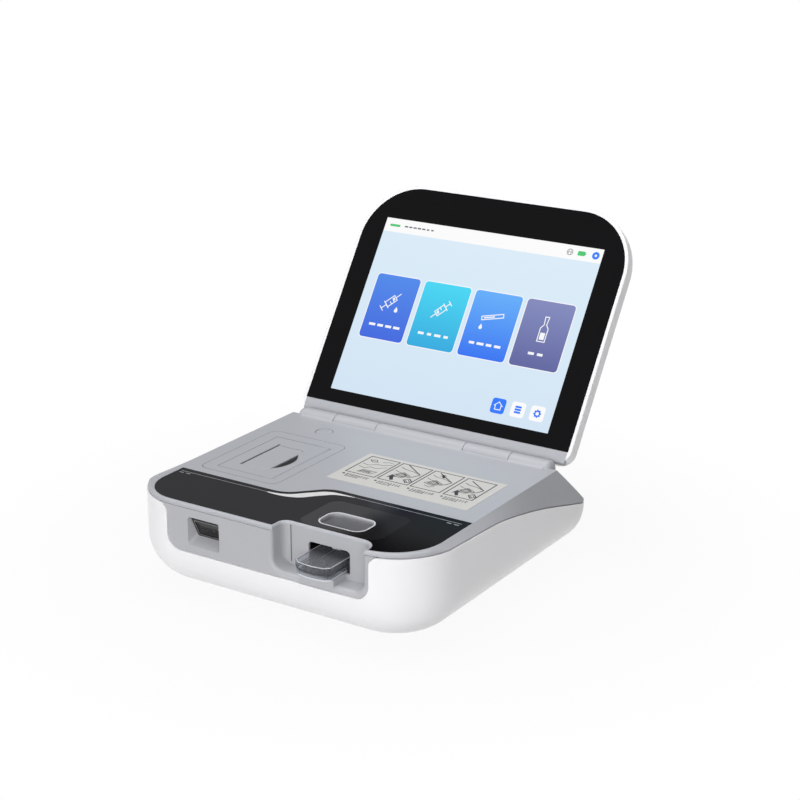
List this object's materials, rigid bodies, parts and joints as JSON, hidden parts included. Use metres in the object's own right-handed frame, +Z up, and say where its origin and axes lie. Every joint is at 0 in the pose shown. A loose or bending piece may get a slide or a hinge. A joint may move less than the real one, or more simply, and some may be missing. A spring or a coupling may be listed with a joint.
{
  "type": "blood gas analyzer",
  "caption": "Bench-top blood gas analyzer with a folding touch screen lid, a thermal printer, a cartridge bay and a barcode scanner.",
  "frame": {"origin": "on the ground under the middle of the whole object, with the lid leaning back as in the picture and a cartridge in the bay", "axes": "+Z up, front with the cartridge bay at -Y, +X to the right seen from the front"},
  "size_m": [0.273, 0.3648, 0.255],
  "materials": {
    "white_shell": "smooth satin white",
    "grey_shell": "fine satin light grey",
    "fascia_grey": "satin mid grey",
    "black_gloss": "glossy charcoal",
    "white_trim": "glossy white",
    "label_film": "matt off-white film",
    "dark_glass": "black backed glass",
    "clear_plastic": "clear moulded plastic",
    "black_plastic": "matt black",
    "white_gears": "natural acetal",
    "soft_rubber": "matt black rubber",
    "paper": "smooth white paper",
    "circuit_green": "green solder mask",
    "display_stack": "black backed display module",
    "steel": "plain bright steel",
    "light_metal": "milled aluminium",
    "brass_parts": "bright brass",
    "ribbon_film": "amber flex film",
    "battery_wrap": "blue shrink wrap"
  },
  "bodies": {
    "base": {"lower_casing": "white_shell", "upper_casing": "grey_shell", "printer_bezel": "grey_shell", "front_fascia": "fascia_grey", "cartridge_bay": "fascia_grey", "thumb_rest": "fascia_grey", "front_panel": "black_gloss", "wave_trim": "white_trim", "instruction_label": "label_film", "scanner_window": "dark_glass", "scanner_module": "black_plastic", "printer_chassis": "black_plastic", "print_head": "black_plastic", "power_switch": "black_plastic", "cartridge_channel": "black_plastic", "battery_cover": "black_plastic", "usb_port": "black_plastic", "lan_port": "black_plastic", "dc_jack": "black_plastic", "rubber_feet": "soft_rubber", "button_board": "circuit_green", "main_board": "circuit_green", "door_hinge_pin": "steel", "printer_motor": "steel", "hinge_bracket_left": "steel", "hinge_bracket_right": "steel", "clamp_motor": "steel", "guide_rod": "steel", "casing_screws": "steel", "board_screws": "steel", "mechanism_screws": "steel", "heater_plate": "light_metal", "mechanism_frame": "light_metal", "display_ribbon": "ribbon_film", "battery_pack": "battery_wrap"},
    "lid": {"lid_back_cover": "white_shell", "lid_hinge_trim": "grey_shell", "cover_glass": "dark_glass", "display_panel": "display_stack", "lid_frame": "black_plastic", "lid_board": "circuit_green", "lid_screws": "steel", "hinge_shaft_left": "steel", "hinge_shaft_right": "steel"},
    "printer_door_body": {"printer_door": "grey_shell"},
    "latch_body": {"printer_latch": "grey_shell"},
    "platen_body": {"platen_roller": "soft_rubber", "platen_gear": "white_gears"},
    "pinion_body": {"motor_pinion": "white_gears"},
    "roll_body": {"paper_roll": "paper"},
    "button_body": {"power_button": "grey_shell", "switch_plunger": "black_plastic"},
    "cartridge": {"cartridge_body": "clear_plastic", "cartridge_chip": "brass_parts"},
    "screw_body": {"lead_screw": "steel"},
    "clamp_body": {"clamp_bridge": "light_metal", "clamp_nut": "brass_parts", "clamp_plunger": "steel", "contact_block": "black_plastic"}
  },
  "joints": [
    {"name": "lid_hinge", "type": "hinge", "parent": "base", "child": "lid", "pos_m": [0, 0.04363, 0.074], "axis": [-1, 0, 0], "range_deg": [-124.15, 10]},
    {"name": "printer_door_hinge", "type": "hinge", "parent": "base", "child": "printer_door_body", "pos_m": [-0.0537, -0.05782, 0.0725], "axis": [0, 1, 0], "range_deg": [0, 92]},
    {"name": "latch_pivot", "type": "hinge", "parent": "printer_door_body", "child": "latch_body", "pos_m": [-0.088, -0.05782, 0.0769], "axis": [0, -1, 0], "range_deg": [0, 25], "stiffness_Nm_per_rad": 0.01, "springref_deg": -2.86},
    {"name": "platen_spin", "type": "hinge", "parent": "printer_door_body", "child": "platen_body", "pos_m": [-0.085, -0.05782, 0.0706], "axis": [0, 1, 0], "continuous": true},
    {"name": "pinion_spin", "type": "hinge", "parent": "base", "child": "pinion_body", "pos_m": [-0.085, -0.02737, 0.064], "axis": [0, 1, 0], "continuous": true},
    {"name": "roll_spin", "type": "hinge", "parent": "base", "child": "roll_body", "pos_m": [-0.072, -0.05782, 0.033], "axis": [0, 1, 0], "continuous": true},
    {"name": "power_press", "type": "slide", "parent": "base", "child": "button_body", "axis": [0, 0, -1], "range_m": [0, 0.001], "stiffness_N_per_m": 600, "springref_m": -0.001},
    {"name": "cartridge_slide", "type": "slide", "parent": "base", "child": "cartridge", "axis": [0, -1, 0], "range_m": [0, 0.05]},
    {"name": "lead_screw_spin", "type": "hinge", "parent": "base", "child": "screw_body", "pos_m": [0.08, -0.13237, 0.048], "axis": [0, 0, 1], "range_deg": [0, 648.2]},
    {"name": "clamp_slide", "type": "slide", "parent": "base", "child": "clamp_body", "axis": [0, 0, 1], "range_m": [0, 0.0018]}
  ],
  "couplings": [
    {"joint": "pinion_spin", "follows": "platen_spin", "ratio": -1.6},
    {"joint": "lead_screw_spin", "follows": "clamp_slide", "rad_per_m": 6283.2}
  ]
}
